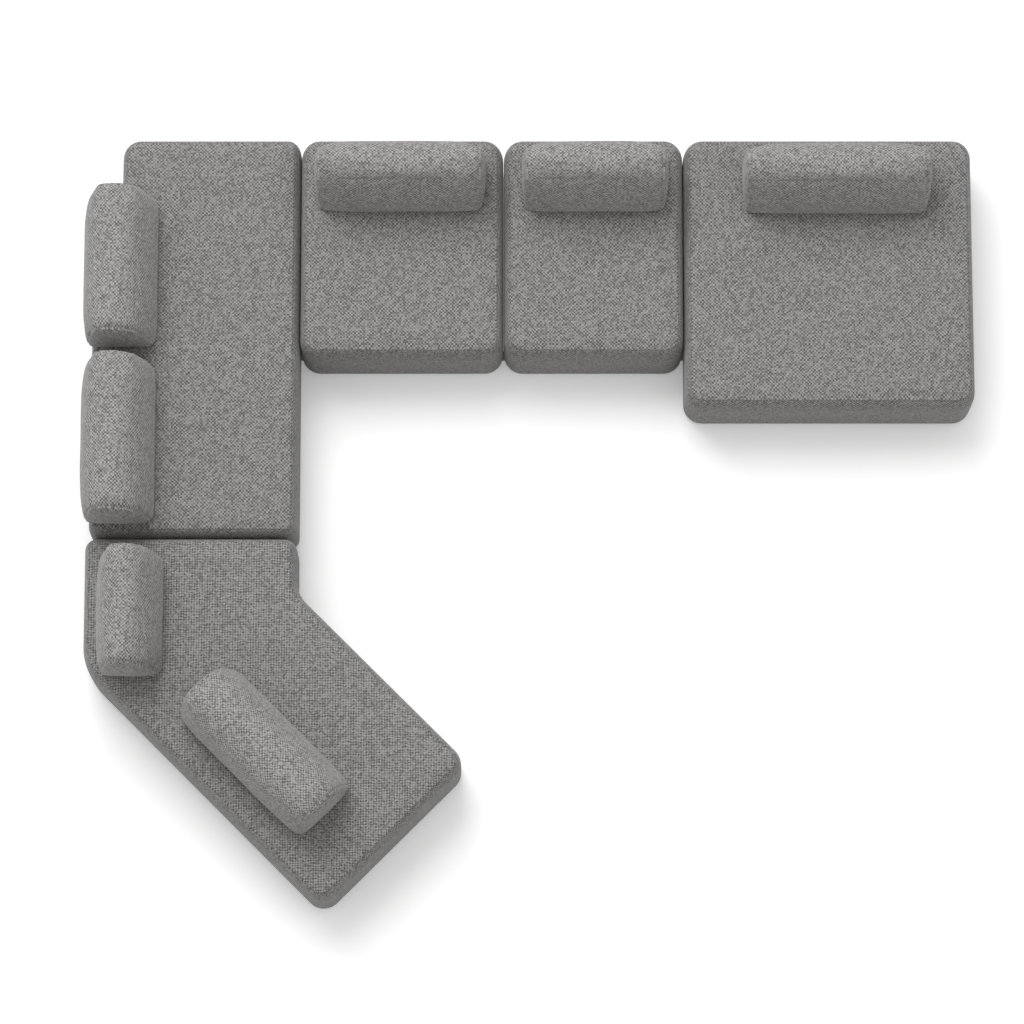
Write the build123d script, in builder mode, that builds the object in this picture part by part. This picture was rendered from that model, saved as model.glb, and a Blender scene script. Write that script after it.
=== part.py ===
"""Modular upholstered corner sofa: five seat modules and seven loose back cushions.

Millimetres, +Z up. +X runs along the long back row, +Y points to its back, and the origin lies
on the floor in the middle of the sofa's plan.
"""

import os
from math import cos, floor, radians, sin, sqrt

from build123d import *

os.makedirs("parts", exist_ok=True)

# Plan of the back row, from the joint with the bench to the free end
wide_seat_width = 931.0
narrow_seat_width = 825.0
lounge_width = 1326.0
seat_depth = 1038.0
lounge_depth = 1274.0

# Plan of the long bench, whose back steps out behind its first cushion
bench_width = 950.0
bench_length = 1870.0
bench_neck_length = 217.0
bench_shoulder = 128.0

# Plan of the angled end seat, measured along its inner edge
turn_angle = 45.0
angled_straight_length = 249.0
angled_leg_length = 1102.0
angled_leg_depth = 930.0
angled_straight_depth = 964.0

# Corner radii in plan
outer_corner_radius = 88.0
joint_corner_radius = 58.0
inner_turn_radius = 150.0
outer_turn_radius = 250.0
least_corner_radius = 12.0
module_gap = 0.6
side_swell = 0.9

# Upright section of a seat: heights above the floor, and how far each line lies inside the plan
foot_height = 32.0
belly_height = 200.0
seam_height = 383.0
seat_height = 400.0
hem_draw = 2.0
seam_inset = 25.0
plateau_inset = 76.0

# Lines between those of the section: how full they are, and how far up they lie
lower_fullness = 0.15
upper_fullness = 0.12
lower_line_share = 0.5
upper_line_share = 0.667
crown_line_share = 0.5
crown_rise_share = 0.75

# Layers of a seat
cover_thickness = 3.0
core_clearance = 0.7
skirt_thickness = 26.0
frame_clearance = 0.5
rail_thickness = 25.0
rail_height = 110.0
cross_rail_spacing = 420.0
strap_width = 70.0
strap_thickness = 2.5
strap_spacing = 130.0
strap_end_setback = 4.0
cloth_thickness = 1.0
cloth_inset = 20.0
foot_diameter = 60.0
foot_tread_diameter = 50.0
foot_inset = 105.0
foot_span = 800.0

# Joining plates and screws between modules
plate_length = 130.0
plate_width = 44.0
plate_thickness = 3.0
screw_diameter = 5.0
screw_head_diameter = 9.6
screw_length = 26.0
screw_pitch = 24.0
screw_clearance = 0.1

# Section of a back cushion, measured from the foot of its front face
cushion_height = 340.0
deep_cushion_depth = 332.0
slim_cushion_depth = 296.0
leg_cushion_depth = 344.0
ridge_setback = 82.0
ridge_height = 282.0
crown_setback = 123.0
shoulder_setback = 52.0
shoulder_drop = 38.0
front_bulge = 12.0
top_bulge = 9.0
shoulder_bulge = 13.0
back_bulge = 18.0

# Along a back cushion: full in the middle, drawn in at the end seams, domed at the ends
end_seam_scale = 0.955
quarter_scale = 0.992
quarter_share = 0.55
end_bulge = 26.0
dome_rim_share = 0.55
dome_rim_scale = 0.9
dome_top_scale = 0.68
dome_centre_share = 0.45

# Layers of a back cushion
cushion_cover_thickness = 3.0
cushion_board_thickness = 12.0
cushion_board_clearance = 6.0
cushion_hem_width = 22.0
pad_clearance = 0.5
rest_clearance = 0.3

# Lengths of the back cushions over their bulging ends
bench_rear_cushion_length = 718.0
bench_front_cushion_length = 760.0
angled_straight_cushion_length = 576.0
angled_leg_cushion_length = 800.0
wide_seat_cushion_length = 775.0
narrow_seat_cushion_length = 664.0
lounge_cushion_length = 856.0

# Places of the back cushions on their seats
bench_rear_cushion_from_end = 653.0
bench_front_cushion_from_end = 1451.0
bench_cushion_front_setback = 638.0
angled_straight_cushion_from_end = 371.0
angled_straight_cushion_front_setback = 590.0
angled_leg_cushion_from_turn = 430.0
angled_leg_cushion_front_setback = 443.0
wide_seat_cushion_from_joint = 460.0
narrow_seat_cushion_from_joint = 417.0
lounge_cushion_from_joint = 694.0
row_cushion_front_from_back = 370.0
lounge_cushion_front_from_back = 379.0

# Key lines of the plan, from the corner joint on the back line
leg = Vector(sin(radians(turn_angle)), -cos(radians(turn_angle)))
leg_side = Vector(-cos(radians(turn_angle)), -sin(radians(turn_angle)))
bench_end = -bench_length
inner_turn = Vector(0.0, bench_end - angled_straight_length)
leg_inner_end = inner_turn + leg * angled_leg_length
leg_outer_end = leg_inner_end + leg_side * angled_leg_depth
outer_turn_run = (leg_outer_end.X + angled_straight_depth) / leg.X
outer_turn = leg_outer_end - leg * outer_turn_run
narrow_seat_start = wide_seat_width
lounge_start = narrow_seat_start + narrow_seat_width
row_end = lounge_start + lounge_width

# The origin lies in the middle of the plan's extent, from the tip of the leg and the cushions
# that stand a little over the bench's back
tip_rounding = outer_corner_radius * (sqrt(2.0) - 1.0)
south_reach = min(leg_outer_end.Y + tip_rounding, bench_end, -lounge_depth)
west_reach = max(angled_straight_depth, bench_cushion_front_setback + deep_cushion_depth)
plan_centre = Vector((row_end - west_reach) / 2, south_reach / 2)


def placed(x, y):
    """Plan point, measured from the corner joint on the back line, in the sofa's frame."""
    return Vector(x, y) - plan_centre


def rectangle_corners(x_low, x_high, y_low, y_high):
    """Anticlockwise corners of a straight module, each with its radius."""
    spots = [(x_low, y_low), (x_high, y_low), (x_high, y_high), (x_low, y_high)]
    return [(placed(x, y), outer_corner_radius) for x, y in spots]


bench_neck = bench_width - bench_shoulder
module_corners = {
    "bench": [
        (placed(0, 0), joint_corner_radius),
        (placed(-bench_neck, 0), outer_corner_radius),
        (placed(-bench_neck, -bench_neck_length), outer_corner_radius),
        (placed(-bench_width, -bench_neck_length - bench_shoulder), outer_corner_radius),
        (placed(-bench_width, bench_end), joint_corner_radius),
        (placed(0, bench_end), joint_corner_radius),
    ],
    "wide_seat": rectangle_corners(0, narrow_seat_start, -seat_depth, 0),
    "narrow_seat": rectangle_corners(narrow_seat_start, lounge_start, -seat_depth, 0),
    "lounge_seat": rectangle_corners(lounge_start, row_end, -lounge_depth, 0),
    "angled_seat": [
        (placed(0, bench_end), joint_corner_radius),
        (placed(-angled_straight_depth, bench_end), joint_corner_radius),
        (placed(outer_turn.X, outer_turn.Y), outer_turn_radius),
        (placed(leg_outer_end.X, leg_outer_end.Y), outer_corner_radius),
        (placed(leg_inner_end.X, leg_inner_end.Y), outer_corner_radius),
        (placed(inner_turn.X, inner_turn.Y), inner_turn_radius),
    ],
}

# Corners that carry a foot, by their place in the outline
footed_corners = {
    "bench": (0, 1, 3, 4, 5),
    "wide_seat": (0, 1, 2, 3),
    "narrow_seat": (0, 1, 2, 3),
    "lounge_seat": (0, 1, 2, 3),
    "angled_seat": (0, 1, 2, 3, 4),
}


def inset_corners(corners, inset):
    """Outline moved inwards by inset, with its radii to match."""
    moved = []
    for place, (spot, radius) in enumerate(corners):
        before = (spot - corners[place - 1][0]).normalized()
        after = (corners[(place + 1) % len(corners)][0] - spot).normalized()
        inward_before = Vector(-before.Y, before.X)
        inward_after = Vector(-after.Y, after.X)
        mitre = (inward_before + inward_after) / (1 + inward_before.dot(inward_after))
        is_hollow = before.X * after.Y - before.Y * after.X < 0
        new_radius = radius + inset if is_hollow else max(radius - inset, least_corner_radius)
        moved.append((spot + mitre * inset, new_radius))
    return moved


def outline_sketch(corners, inset, height):
    """Filled outline of a module, drawn in by inset, at a height above the floor."""
    moved = inset_corners(corners, inset + module_gap / 2)
    with BuildSketch(Plane.XY.offset(height)) as outline:
        with BuildLine():
            FilletPolyline(*[spot for spot, _ in moved], radius=[r for _, r in moved], close=True)
        make_face()
    return outline.sketch


def seat_form(corners, skin):
    """Upholstered block, all round thinner than the outside of the cover by skin.

    Each line of the section is its inset, its height and the rise of its outward direction.
    """
    lower_line = foot_height + (belly_height - foot_height) * lower_line_share
    upper_line = belly_height + (seam_height - belly_height) * upper_line_share
    crown_line = seam_height + (seat_height - seam_height) * crown_rise_share
    crown_inset = seam_inset + (plateau_inset - seam_inset) * crown_line_share
    band_lines = [
        (hem_draw, foot_height, 0.0),
        (hem_draw * lower_fullness, lower_line, 0.0),
        (0.0, belly_height, 0.0),
        (seam_inset * upper_fullness, upper_line, 8.0),
        (seam_inset, seam_height, 50.0),
    ]
    crown_lines = [
        (seam_inset, seam_height, 50.0),
        (crown_inset, crown_line, 76.0),
        (plateau_inset, seat_height, 90.0),
    ]
    with BuildPart() as form:
        for lines in (band_lines, crown_lines):
            sections = []
            for inset, height, rise in lines:
                inwards = inset + side_swell + skin * cos(radians(rise))
                upwards = height - skin * sin(radians(rise))
                sections.append(outline_sketch(corners, inwards, upwards))
            loft(sections=[section.face() for section in sections])
    return form.part


def block(corners, inset, bottom, top):
    """Plain upright block of a module's outline, drawn in by inset."""
    with BuildPart() as slab:
        add(outline_sketch(corners, inset, bottom))
        extrude(amount=top - bottom)
    return slab.part


# Heights of the layers, and the frame's place inside the skirt
frame_inset = hem_draw + cover_thickness + core_clearance + skirt_thickness
frame_top = foot_height + rail_height
strap_top = frame_top + strap_thickness
cloth_bottom = foot_height - cloth_thickness

# Joints between modules: a point on the joint line, the way across it, and the two modules
rail_centre = frame_inset + rail_thickness / 2
row_joint_spots = (rail_centre + plate_width, seat_depth - rail_centre - plate_width)
bench_joint_spots = (rail_centre + plate_width, bench_width - rail_centre - plate_width)
joints = []
for run in row_joint_spots:
    joints.append((placed(0, -run), Vector(1, 0), ("bench", "wide_seat")))
    joints.append((placed(narrow_seat_start, -run), Vector(1, 0), ("wide_seat", "narrow_seat")))
    joints.append((placed(lounge_start, -run), Vector(1, 0), ("narrow_seat", "lounge_seat")))
for run in bench_joint_spots:
    joints.append((placed(-run, bench_end), Vector(0, 1), ("bench", "angled_seat")))


def joint_screws(spot, across):
    """Plan points of the screws of one joining plate: two in each of the two rails."""
    along = Vector(-across.Y, across.X)
    return [
        spot + across * (side * rail_centre) + along * (end * screw_pitch / 2)
        for side in (-1, 1)
        for end in (-1, 1)
    ]


def module_screws(name):
    """Plan points of the screws that enter one module's frame."""
    return [
        point
        for spot, across, pair in joints
        if name in pair
        for point in joint_screws(spot, across)
    ]


def screw_places(points, height):
    return Locations(*[(point.X, point.Y, height) for point in points])


def module_extent(corners):
    """Lowest and highest plan points of a module's outline."""
    spots = [spot for spot, _ in corners]
    low = Vector(min(s.X for s in spots), min(s.Y for s in spots))
    high = Vector(max(s.X for s in spots), max(s.Y for s in spots))
    return low, high


def strips(corners, width, spacing, runs_along_x):
    """Centre, size and count of parallel strips spread evenly over a module."""
    low, high = module_extent(corners)
    extent = high - low
    span = extent.Y if runs_along_x else extent.X
    usable = span - 2 * (frame_inset + rail_thickness)
    count = max(1, floor(usable / spacing))
    pitch = usable / count
    size = (extent.X, width) if runs_along_x else (width, extent.Y)
    return (low + high) / 2, size, count, pitch


def strip_places(centre, count, pitch, runs_along_x):
    offsets = [(place - (count - 1) / 2) * pitch for place in range(count)]
    if runs_along_x:
        return Locations(*[(centre.X, centre.Y + offset) for offset in offsets])
    return Locations(*[(centre.X + offset, centre.Y) for offset in offsets])


def foot_points(name):
    """Plan points of a module's feet: its corners, and between those that lie far apart."""
    ring = [inset_corners(module_corners[name], foot_inset)[place][0] for place in footed_corners[name]]
    points = []
    for place, spot in enumerate(ring):
        after = ring[(place + 1) % len(ring)]
        steps = max(1, floor((after - spot).length / foot_span))
        points += [spot + (after - spot) * (step / steps) for step in range(steps)]
    return points


def write(piece, name):
    """Label a finished piece and write it as its own node."""
    piece.part.label = name
    export_step(piece.part, f"parts/{name}.step")


def cross_rails(corners):
    """Rails across a frame, from back to front, between its outer rails."""
    centre, size, count, pitch = strips(corners, rail_thickness, cross_rail_spacing, False)
    with BuildPart() as rails:
        add(block(corners, frame_inset + rail_thickness, foot_height, frame_top))
        with BuildSketch(Plane.XY.offset(foot_height)):
            with strip_places(centre, count, pitch, False):
                Rectangle(*size)
        extrude(amount=rail_height, mode=Mode.INTERSECT)
    return rails.part


# Seat modules
for name, corners in module_corners.items():
    screws = module_screws(name)
    feet = foot_points(name)

    with BuildPart() as seat_cover:
        add(seat_form(corners, 0.0))
        add(seat_form(corners, cover_thickness), mode=Mode.SUBTRACT)
    write(seat_cover, f"{name}_cover")

    with BuildPart() as seat_core:
        add(seat_form(corners, cover_thickness + core_clearance))
        recess_inset = frame_inset - frame_clearance
        recess_top = strap_top + rest_clearance
        add(block(corners, recess_inset, foot_height, recess_top), mode=Mode.SUBTRACT)
    write(seat_core, f"{name}_core")

    with BuildPart() as seat_frame:
        add(block(corners, frame_inset, foot_height, frame_top))
        add(block(corners, frame_inset + rail_thickness, foot_height, frame_top), mode=Mode.SUBTRACT)
        add(cross_rails(corners))
        with screw_places(screws, foot_height):
            Cylinder(
                screw_diameter / 2 + screw_clearance,
                screw_length,
                align=(Align.CENTER, Align.CENTER, Align.MIN),
                mode=Mode.SUBTRACT,
            )
    write(seat_frame, f"{name}_frame")

    with BuildPart() as seat_webbing:
        add(block(corners, frame_inset + strap_end_setback, frame_top, strap_top))
        centre, size, count, pitch = strips(corners, strap_width, strap_spacing, True)
        with BuildSketch(Plane.XY.offset(frame_top)):
            with strip_places(centre, count, pitch, True):
                Rectangle(*size)
        extrude(amount=strap_thickness, mode=Mode.INTERSECT)
    write(seat_webbing, f"{name}_webbing")

    with BuildPart() as seat_cloth:
        add(block(corners, cloth_inset, cloth_bottom, foot_height))
        with screw_places(screws, cloth_bottom):
            Cylinder(
                screw_diameter / 2 + screw_clearance,
                2 * cloth_thickness,
                mode=Mode.SUBTRACT,
            )
    write(seat_cloth, f"{name}_dust_cloth")

    with BuildPart() as seat_feet:
        with Locations(*[(point.X, point.Y, 0) for point in feet]):
            Cone(
                foot_tread_diameter / 2,
                foot_diameter / 2,
                cloth_bottom,
                align=(Align.CENTER, Align.CENTER, Align.MIN),
            )
    write(seat_feet, f"{name}_feet")


# Joining plates under neighbouring frames, and their screws
plate_bottom = cloth_bottom - plate_thickness
all_screws = [point for spot, across, _ in joints for point in joint_screws(spot, across)]
with BuildPart() as joining_plates:
    for spot, across, _ in joints:
        length, width = (plate_length, plate_width) if across.X else (plate_width, plate_length)
        with Locations((spot.X, spot.Y, plate_bottom)):
            Box(length, width, plate_thickness, align=(Align.CENTER, Align.CENTER, Align.MIN))
    with screw_places(all_screws, plate_bottom):
        Cone(
            screw_head_diameter / 2 + screw_clearance,
            screw_diameter / 2 + screw_clearance,
            plate_thickness,
            align=(Align.CENTER, Align.CENTER, Align.MIN),
            mode=Mode.SUBTRACT,
        )
write(joining_plates, "joining_plates")

with BuildPart() as joining_screws:
    with screw_places(all_screws, plate_bottom):
        Cone(
            screw_head_diameter / 2,
            screw_diameter / 2,
            plate_thickness,
            align=(Align.CENTER, Align.CENTER, Align.MIN),
        )
    with screw_places(all_screws, cloth_bottom):
        Cylinder(
            screw_diameter / 2,
            screw_length,
            align=(Align.CENTER, Align.CENTER, Align.MIN),
        )
write(joining_screws, "joining_screws")


# Back cushions: the foot of each front face's middle, and the way to its back
def row_cushion(along, from_back):
    """Cushion on the back row, facing the front of its seat."""
    return placed(along, -from_back), Vector(0, 1)


def bench_cushion(from_end, front_setback):
    """Cushion along the bench's back, facing the bench's front."""
    return placed(-front_setback, -from_end), Vector(-1, 0)


leg_cushion_foot = inner_turn + leg * angled_leg_cushion_from_turn
leg_cushion_foot += leg_side * angled_leg_cushion_front_setback
cushions = {
    "bench_rear_cushion": (
        *bench_cushion(bench_rear_cushion_from_end, bench_cushion_front_setback),
        bench_rear_cushion_length,
        deep_cushion_depth,
    ),
    "bench_front_cushion": (
        *bench_cushion(bench_front_cushion_from_end, bench_cushion_front_setback),
        bench_front_cushion_length,
        deep_cushion_depth,
    ),
    "angled_straight_cushion": (
        *bench_cushion(
            bench_length + angled_straight_cushion_from_end,
            angled_straight_cushion_front_setback,
        ),
        angled_straight_cushion_length,
        slim_cushion_depth,
    ),
    "angled_leg_cushion": (
        placed(leg_cushion_foot.X, leg_cushion_foot.Y),
        leg_side,
        angled_leg_cushion_length,
        leg_cushion_depth,
    ),
    "wide_seat_cushion": (
        *row_cushion(wide_seat_cushion_from_joint, row_cushion_front_from_back),
        wide_seat_cushion_length,
        slim_cushion_depth,
    ),
    "narrow_seat_cushion": (
        *row_cushion(narrow_seat_start + narrow_seat_cushion_from_joint, row_cushion_front_from_back),
        narrow_seat_cushion_length,
        slim_cushion_depth,
    ),
    "lounge_cushion": (
        *row_cushion(lounge_start + lounge_cushion_from_joint, lounge_cushion_front_from_back),
        lounge_cushion_length,
        slim_cushion_depth,
    ),
}


def cushion_plane(foot, to_back, along):
    """Upright plane across a cushion, its x to the back and its y up, at a place along it."""
    across = Vector(to_back.X, to_back.Y, 0)
    axis = across.cross(Vector(0, 0, 1))
    base = Vector(foot.X, foot.Y, seat_height + rest_clearance)
    return Plane(origin=base + axis * along, x_dir=across, z_dir=axis)


def bulged(start, end, bulge):
    """Arc from start to end that swells outwards on its left by bulge."""
    chord = (end - start).normalized()
    middle = (start + end) / 2 + Vector(-chord.Y, chord.X) * bulge
    return ThreePointArc(start, middle, end)


def cushion_section(plane, depth, skin, scale, lift):
    """Section of a cushion, scaled about the middle of its base and lifted."""
    top = cushion_height - skin
    middle = depth / 2

    def spot(back, height):
        return Vector(middle + (back - middle) * scale, lift + skin + (height - skin) * scale)

    front_foot = spot(skin, skin)
    ridge = spot(ridge_setback + skin, ridge_height - skin)
    crown = spot(depth - crown_setback, top)
    shoulder = spot(depth - shoulder_setback - skin, top - shoulder_drop)
    back_foot = spot(depth - skin, skin)
    with BuildSketch(plane) as section:
        with BuildLine():
            bulged(front_foot, ridge, front_bulge * scale)
            bulged(ridge, crown, top_bulge * scale)
            bulged(crown, shoulder, shoulder_bulge * scale)
            bulged(shoulder, back_foot, back_bulge * scale)
            Line(back_foot, front_foot)
        make_face()
    return section.sketch


def cushion_form(cushion, skin):
    """Whole cushion, all round thinner than the outside of its cover by skin."""
    foot, to_back, length, depth = cushion
    seam = length / 2 - end_bulge
    dome = end_bulge - skin
    rise = (cushion_height - 2 * skin) * dome_centre_share

    def section(along, scale, lift):
        plane = cushion_plane(foot, to_back, along)
        return cushion_section(plane, depth, skin, scale, lift).face()

    with BuildPart() as form:
        loft(
            sections=[
                section(-seam, end_seam_scale, 0.0),
                section(-seam * quarter_share, quarter_scale, 0.0),
                section(0.0, 1.0, 0.0),
                section(seam * quarter_share, quarter_scale, 0.0),
                section(seam, end_seam_scale, 0.0),
            ]
        )
        for side in (-1, 1):
            loft(
                sections=[
                    section(side * seam, end_seam_scale, 0.0),
                    section(
                        side * (seam + dome * dome_rim_share),
                        dome_rim_scale,
                        rise * (end_seam_scale - dome_rim_scale),
                    ),
                    section(
                        side * (seam + dome),
                        dome_top_scale,
                        rise * (end_seam_scale - dome_top_scale),
                    ),
                ]
            )
    return form.part


def cushion_slab(cushion, margin, bottom, top):
    """Rounded flat slab inside a cushion's base, between two heights above its foot."""
    foot, to_back, length, depth = cushion
    plane = cushion_plane(foot, to_back, 0.0)
    base = Plane(
        origin=plane.from_local_coords((depth / 2, bottom, 0)),
        x_dir=plane.x_dir,
        z_dir=(0, 0, 1),
    )
    with BuildPart() as slab:
        with BuildSketch(base):
            RectangleRounded(
                depth * end_seam_scale - 2 * margin,
                length - 2 * end_bulge - 2 * margin,
                cushion_hem_width / 2,
            )
        extrude(amount=top - bottom)
    return slab.part


board_margin = cushion_cover_thickness + cushion_board_clearance
pad_margin = board_margin + cushion_hem_width
board_top = cushion_cover_thickness + cushion_board_thickness
for name, cushion in cushions.items():
    with BuildPart() as cushion_cover:
        add(cushion_form(cushion, 0.0))
        add(cushion_form(cushion, cushion_cover_thickness), mode=Mode.SUBTRACT)
        add(
            cushion_slab(cushion, pad_margin - pad_clearance, 0.0, board_top),
            mode=Mode.SUBTRACT,
        )
    write(cushion_cover, f"{name}_cover")

    with BuildPart() as cushion_core:
        add(cushion_form(cushion, cushion_cover_thickness + core_clearance))
        cut = Plane.XY.offset(seat_height + rest_clearance + board_top + rest_clearance)
        split(bisect_by=cut, keep=Keep.TOP)
    write(cushion_core, f"{name}_core")

    with BuildPart() as cushion_base:
        add(cushion_slab(cushion, board_margin, cushion_cover_thickness, board_top))
        add(cushion_slab(cushion, pad_margin, 0.0, cushion_cover_thickness))
    write(cushion_base, f"{name}_base")
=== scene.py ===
"""Modular corner sofa: woven seats and back cushions, their seam stitches, the underside and a stage.

Metres, +Z up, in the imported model's own frame. +X runs along the long back row, +Y to its back.
"""

from math import atan2, ceil, cos, pi, radians, sin, sqrt, tan

import bmesh
import bpy
from bpy.props import FloatProperty, FloatVectorProperty, IntProperty, PointerProperty
from mathutils import Matrix, Vector, noise
from mathutils.bvhtree import BVHTree
from mathutils.geometry import delaunay_2d_cdt


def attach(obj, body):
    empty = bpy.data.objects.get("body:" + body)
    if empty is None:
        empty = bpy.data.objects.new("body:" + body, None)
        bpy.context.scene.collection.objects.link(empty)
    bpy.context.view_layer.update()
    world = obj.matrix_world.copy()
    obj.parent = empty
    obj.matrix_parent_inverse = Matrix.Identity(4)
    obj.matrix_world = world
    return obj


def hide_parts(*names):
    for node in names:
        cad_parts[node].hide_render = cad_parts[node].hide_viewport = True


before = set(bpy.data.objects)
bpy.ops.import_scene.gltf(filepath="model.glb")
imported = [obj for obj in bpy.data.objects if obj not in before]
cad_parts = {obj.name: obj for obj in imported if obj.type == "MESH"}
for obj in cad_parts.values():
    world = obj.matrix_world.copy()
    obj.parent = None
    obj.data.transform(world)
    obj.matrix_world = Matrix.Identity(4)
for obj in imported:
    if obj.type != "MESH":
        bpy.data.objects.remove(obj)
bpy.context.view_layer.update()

bl_info = {
    "name": "Modular corner sofa",
    "version": (1, 0, 0),
    "blender": (4, 5, 0),
    "location": "View3D > Sidebar > Corner sofa",
    "description": "Upholsters five seat modules and seven back cushions in a fleck weave",
    "category": "Object",
}


def length(name, description, default):
    """Property for a length in metres."""
    return FloatProperty(name=name, description=description, default=default, unit="LENGTH", precision=4)


def share(name, description, default):
    """Property for a share or a factor."""
    return FloatProperty(name=name, description=description, default=default, subtype="FACTOR")


def angle(name, description, degrees):
    """Property for an angle."""
    return FloatProperty(name=name, description=description, default=radians(degrees), subtype="ANGLE")


def number(name, description, default, unit="NONE"):
    """Property for a plain number, or for a quantity with a unit of its own."""
    return FloatProperty(name=name, description=description, default=default, unit=unit)


def colour(name, description, default):
    """Property for a linear colour."""
    return FloatVectorProperty(name=name, description=description, default=default, subtype="COLOR")


class SeatSizes(bpy.types.PropertyGroup):
    """Plan and section of the seat modules."""

    wide_seat_width: length("Wide seat width", "Width of the first seat of the row", 0.931)
    narrow_seat_width: length("Narrow seat width", "Width of the second seat of the row", 0.825)
    lounge_width: length("Lounge width", "Width of the deep end seat", 1.326)
    seat_depth: length("Seat depth", "Depth of the two plain seats of the row", 1.038)
    lounge_depth: length("Lounge depth", "Depth of the deep end seat", 1.274)
    bench_width: length("Bench width", "Depth of the bench from front to back", 0.950)
    bench_length: length("Bench length", "Run of the bench from the corner", 1.870)
    bench_neck_length: length("Neck length", "Run of the bench's narrow start", 0.217)
    bench_shoulder: length("Bench shoulder", "Step of the bench's back", 0.128)
    turn_angle: angle("Turn angle", "Turn of the angled seat's leg", 45)
    angled_straight: length("Angled straight", "Straight run of the angled seat's inner edge", 0.249)
    angled_leg: length("Angled leg", "Run of the angled seat's leg", 1.102)
    angled_straight_depth: length("Angled straight depth", "Depth of that straight run", 0.964)
    angled_depth: length("Angled depth", "Depth of the angled seat's leg", 0.930)
    outer_radius: length("Outer radius", "Plan radius of the free corners", 0.088)
    joint_radius: length("Joint radius", "Plan radius of the corners at a joint", 0.058)
    inner_turn_radius: length("Inner turn radius", "Plan radius inside the turn", 0.150)
    outer_turn_radius: length("Outer turn radius", "Plan radius outside the turn", 0.250)
    side_clearance: length("Side clearance", "Space kept to the plan line of a module", 0.0012)
    foot_height: length("Foot height", "Height of the hem above the floor", 0.032)
    belly_height: length("Belly height", "Height of the fullest line of the side band", 0.200)
    seam_height: length("Seam height", "Height of the seam between band and top", 0.383)
    seat_height: length("Seat height", "Height of the top panel", 0.400)
    hem_draw: length("Hem draw", "Inward draw of the hem", 0.002)
    seam_inset: length("Seam inset", "Inward draw of the top seam", 0.025)
    plateau_inset: length("Plateau inset", "Inset at which the top panel is level", 0.076)
    recess_inset: length("Recess inset", "Inset of the frame's recess", 0.0312)
    recess_top: length("Recess top", "Height of the frame's recess", 0.1448)
    cloth_inset: length("Dust cloth inset", "Inset of the dust cloth's edge", 0.020)
    cloth_thickness: length("Dust cloth thickness", "Thickness of the dust cloth", 0.001)


class CushionSizes(bpy.types.PropertyGroup):
    """Section, lengths and places of the back cushions."""

    height: length("Height", "Height of a back cushion", 0.340)
    deep_depth: length("Deep depth", "Depth of the deep cushions' base", 0.332)
    leg_depth: length("Leg depth", "Depth of the leg cushion's base", 0.344)
    slim_depth: length("Slim depth", "Depth of the slim cushions' base", 0.296)
    ridge_setback: length("Ridge setback", "Setback of the front ridge from the foot", 0.082)
    ridge_height: length("Ridge height", "Height of the front ridge", 0.282)
    crown_setback: length("Crown setback", "Setback of the crown from the back", 0.123)
    shoulder_setback: length("Shoulder setback", "Setback of the shoulder from the back", 0.052)
    shoulder_drop: length("Shoulder drop", "Drop of the shoulder below the crown", 0.038)
    front_bulge: length("Front bulge", "Swell of the front panel", 0.017)
    top_bulge: length("Top bulge", "Swell of the top panel", 0.012)
    shoulder_bulge: length("Shoulder bulge", "Swell over the shoulder", 0.013)
    back_bulge: length("Back bulge", "Swell of the back panel", 0.018)
    end_bulge: length("End bulge", "Swell of the end panels", 0.026)
    end_scale: share("End scale", "Size of the section at the end seams", 0.955)
    end_radius: length("End radius", "Roll of the section towards the end seams", 0.036)
    end_turn: share("End turn", "Part of that roll that lies before the end seam", 0.75)
    ridge_roll: length("Ridge roll", "Run of the soft edge on each side of the ridge", 0.040)
    foot_radius: length("Foot radius", "Roll of the cushion's lower edge", 0.018)
    rest_clearance: length("Rest clearance", "Height of the base over the seat", 0.0003)
    bench_rear_length: length("Bench rear length", "Length of the bench's rear cushion", 0.718)
    bench_front_length: length("Bench front length", "Length of the bench's front cushion", 0.760)
    angled_straight_length: length("Angled straight length", "Length on the straight run", 0.576)
    angled_leg_length: length("Angled leg length", "Length of the cushion on the leg", 0.800)
    wide_seat_length: length("Wide seat length", "Length of the wide seat's cushion", 0.775)
    narrow_seat_length: length("Narrow seat length", "Length of the narrow seat's cushion", 0.664)
    lounge_length: length("Lounge length", "Length of the lounge seat's cushion", 0.856)
    bench_rear_from_end: length("Bench rear place", "Middle, from the back line", 0.653)
    bench_front_from_end: length("Bench front place", "Middle, from the back line", 1.451)
    bench_setback: length("Bench setback", "Front foot, from the bench's front", 0.638)
    angled_straight_from_end: length("Angled straight place", "Middle, from the bench's end", 0.371)
    angled_straight_setback: length("Angled straight setback", "Front foot, from the front", 0.590)
    angled_leg_from_turn: length("Angled leg place", "Middle, from the inner turn", 0.430)
    angled_leg_setback: length("Angled leg setback", "Front foot, from the leg's front", 0.443)
    wide_from_joint: length("Wide seat place", "Middle, from the seat's left side", 0.460)
    narrow_from_joint: length("Narrow seat place", "Middle, from the seat's left side", 0.417)
    lounge_from_joint: length("Lounge place", "Middle, from the seat's left side", 0.694)
    row_from_back: length("Row setback", "Front foot, from the back line", 0.370)
    lounge_from_back: length("Lounge setback", "Front foot, from the back line", 0.379)


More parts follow.
